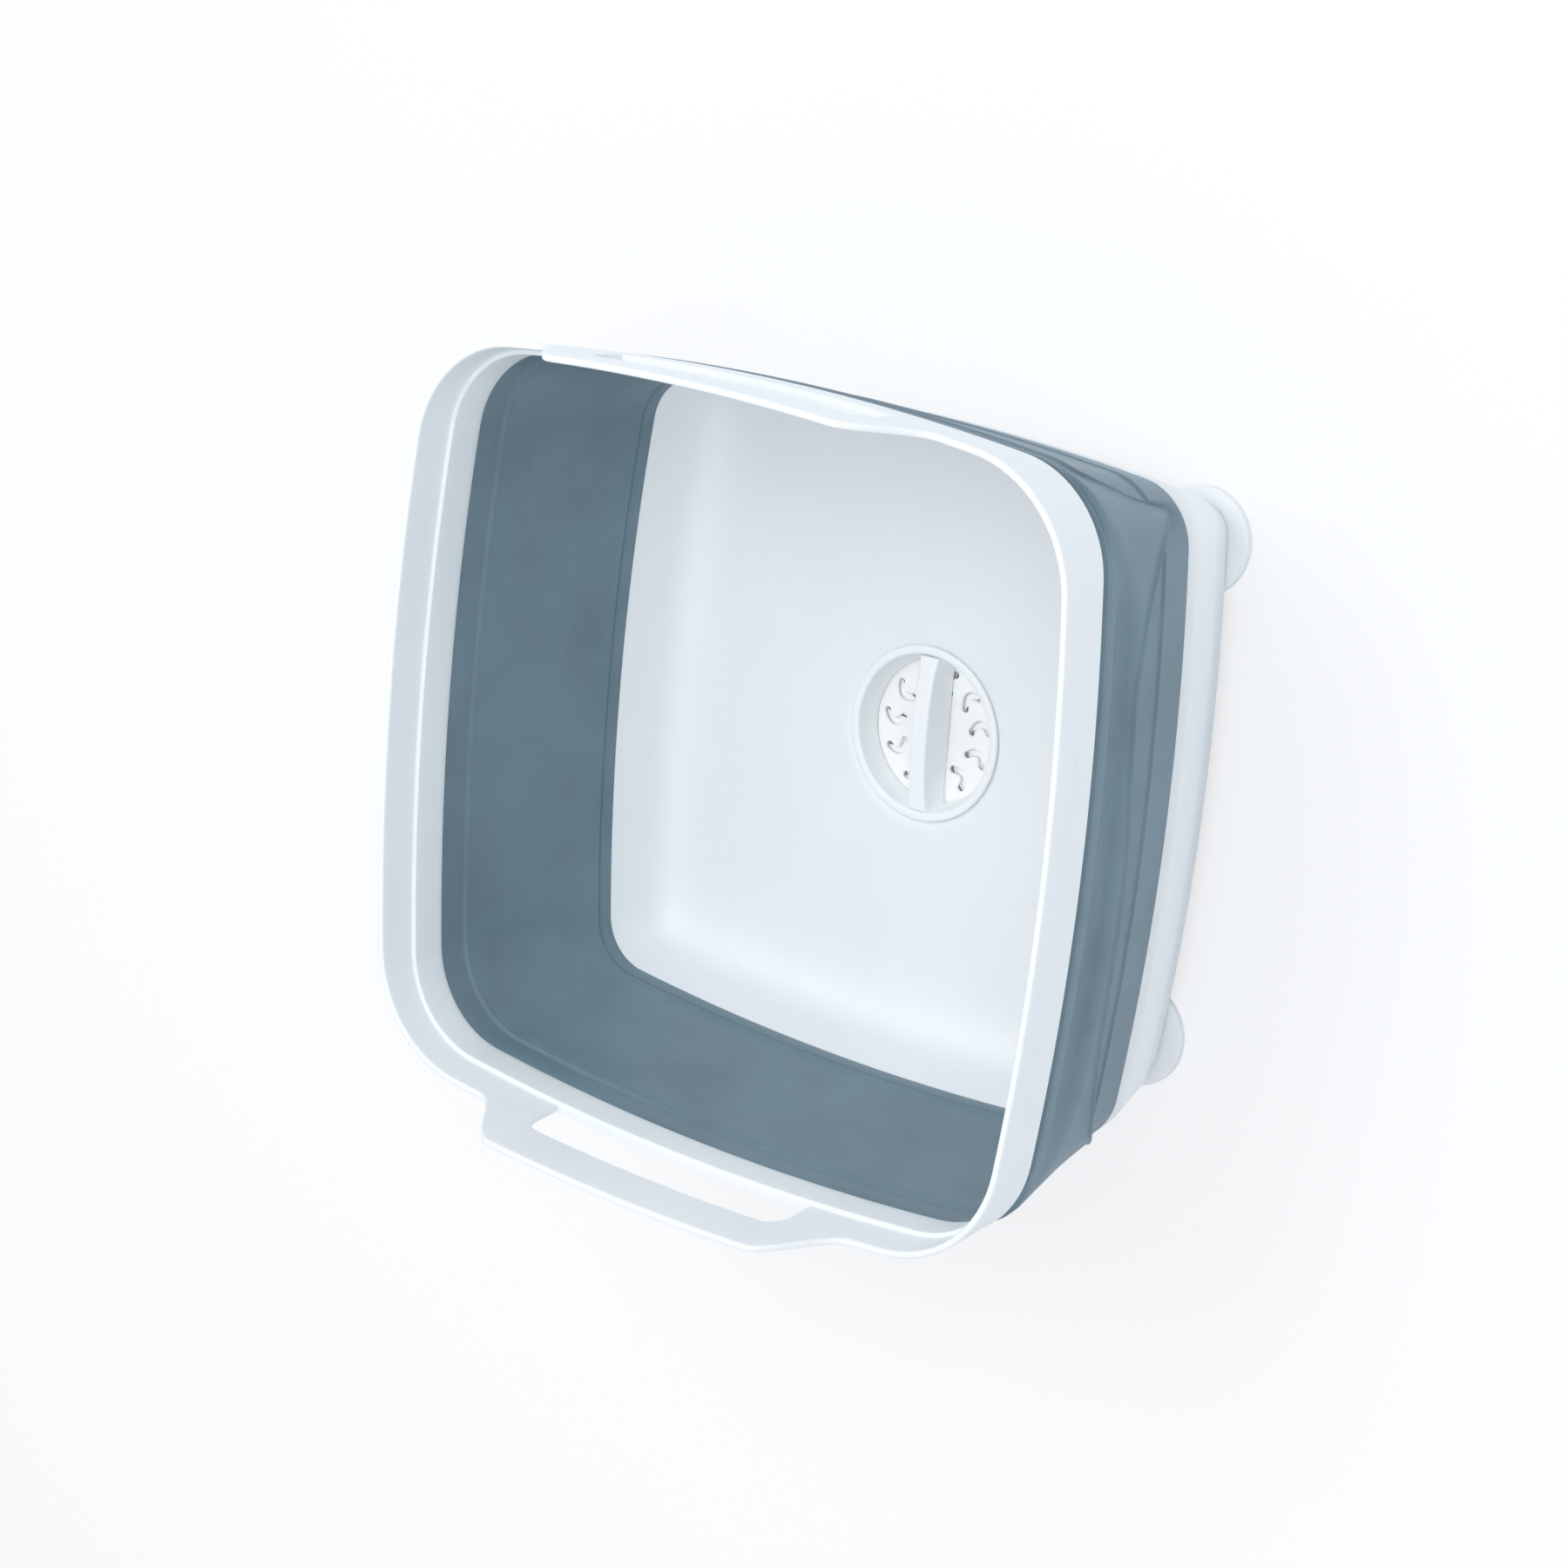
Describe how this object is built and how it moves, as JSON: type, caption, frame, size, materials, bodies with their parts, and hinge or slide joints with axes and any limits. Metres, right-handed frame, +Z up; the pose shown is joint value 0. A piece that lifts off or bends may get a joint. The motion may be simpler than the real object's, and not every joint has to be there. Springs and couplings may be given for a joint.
{
  "type": "collapsible washbasin",
  "caption": "Collapsible square washbasin: a stiff rim with raised handles on opposite sides, a folding elastomer wall, and a footed tray with a twist-to-open drain.",
  "frame": {"origin": "middle of the basin in plan, on the surface that its four feet stand on", "axes": "+Z up out of the mouth, the handles on -Y (front) and +Y (rear), +X to the right; the drain grip's bar runs along Y"},
  "size_m": [0.31, 0.3086, 0.187],
  "materials": {
    "rim_polypropylene": "satin bluish white, moulded",
    "tray_polypropylene": "fine matt bluish white, moulded",
    "drain_polypropylene": "satin white, moulded",
    "wall_elastomer": "matt blue-grey, soft, a little dusty",
    "seal_rubber": "matt dark grey"
  },
  "bodies": {
    "base": {"tray": "tray_polypropylene", "foot_front_left": "tray_polypropylene", "foot_front_right": "tray_polypropylene", "foot_rear_left": "tray_polypropylene", "foot_rear_right": "tray_polypropylene", "drain_body": "drain_polypropylene", "drain_gasket": "seal_rubber", "wall_lower_collar": "wall_elastomer"},
    "rim": {"rim_frame": "rim_polypropylene", "wall_upper_collar": "wall_elastomer"},
    "band_upper": {"wall_band_upper": "wall_elastomer"},
    "band_middle": {"wall_band_middle": "wall_elastomer"},
    "band_lower": {"wall_band_lower": "wall_elastomer"},
    "drain_valve": {"drain_grip": "tray_polypropylene", "drain_shutter": "drain_polypropylene", "drain_seal": "seal_rubber", "drain_pin": "tray_polypropylene"}
  },
  "joints": [
    {"name": "rim_collapse", "type": "slide", "parent": "base", "child": "rim", "axis": [0, 0, -1], "range_m": [0, 0.095]},
    {"name": "band_upper_slide", "type": "slide", "parent": "base", "child": "band_upper", "axis": [0, 0, -1], "range_m": [0, 0.0713]},
    {"name": "band_middle_slide", "type": "slide", "parent": "base", "child": "band_middle", "axis": [0, 0, -1], "range_m": [0, 0.0476]},
    {"name": "band_lower_slide", "type": "slide", "parent": "base", "child": "band_lower", "axis": [0, 0, -1], "range_m": [0, 0.0238]},
    {"name": "drain_turn", "type": "hinge", "parent": "base", "child": "drain_valve", "pos_m": [0, 0, 0.0105], "axis": [0, 0, 1], "range_deg": [-2.5, 10.5]}
  ],
  "couplings": [
    {"joint": "band_upper_slide", "follows": "rim_collapse", "ratio": 0.75},
    {"joint": "band_middle_slide", "follows": "rim_collapse", "ratio": 0.5},
    {"joint": "band_lower_slide", "follows": "rim_collapse", "ratio": 0.25}
  ]
}
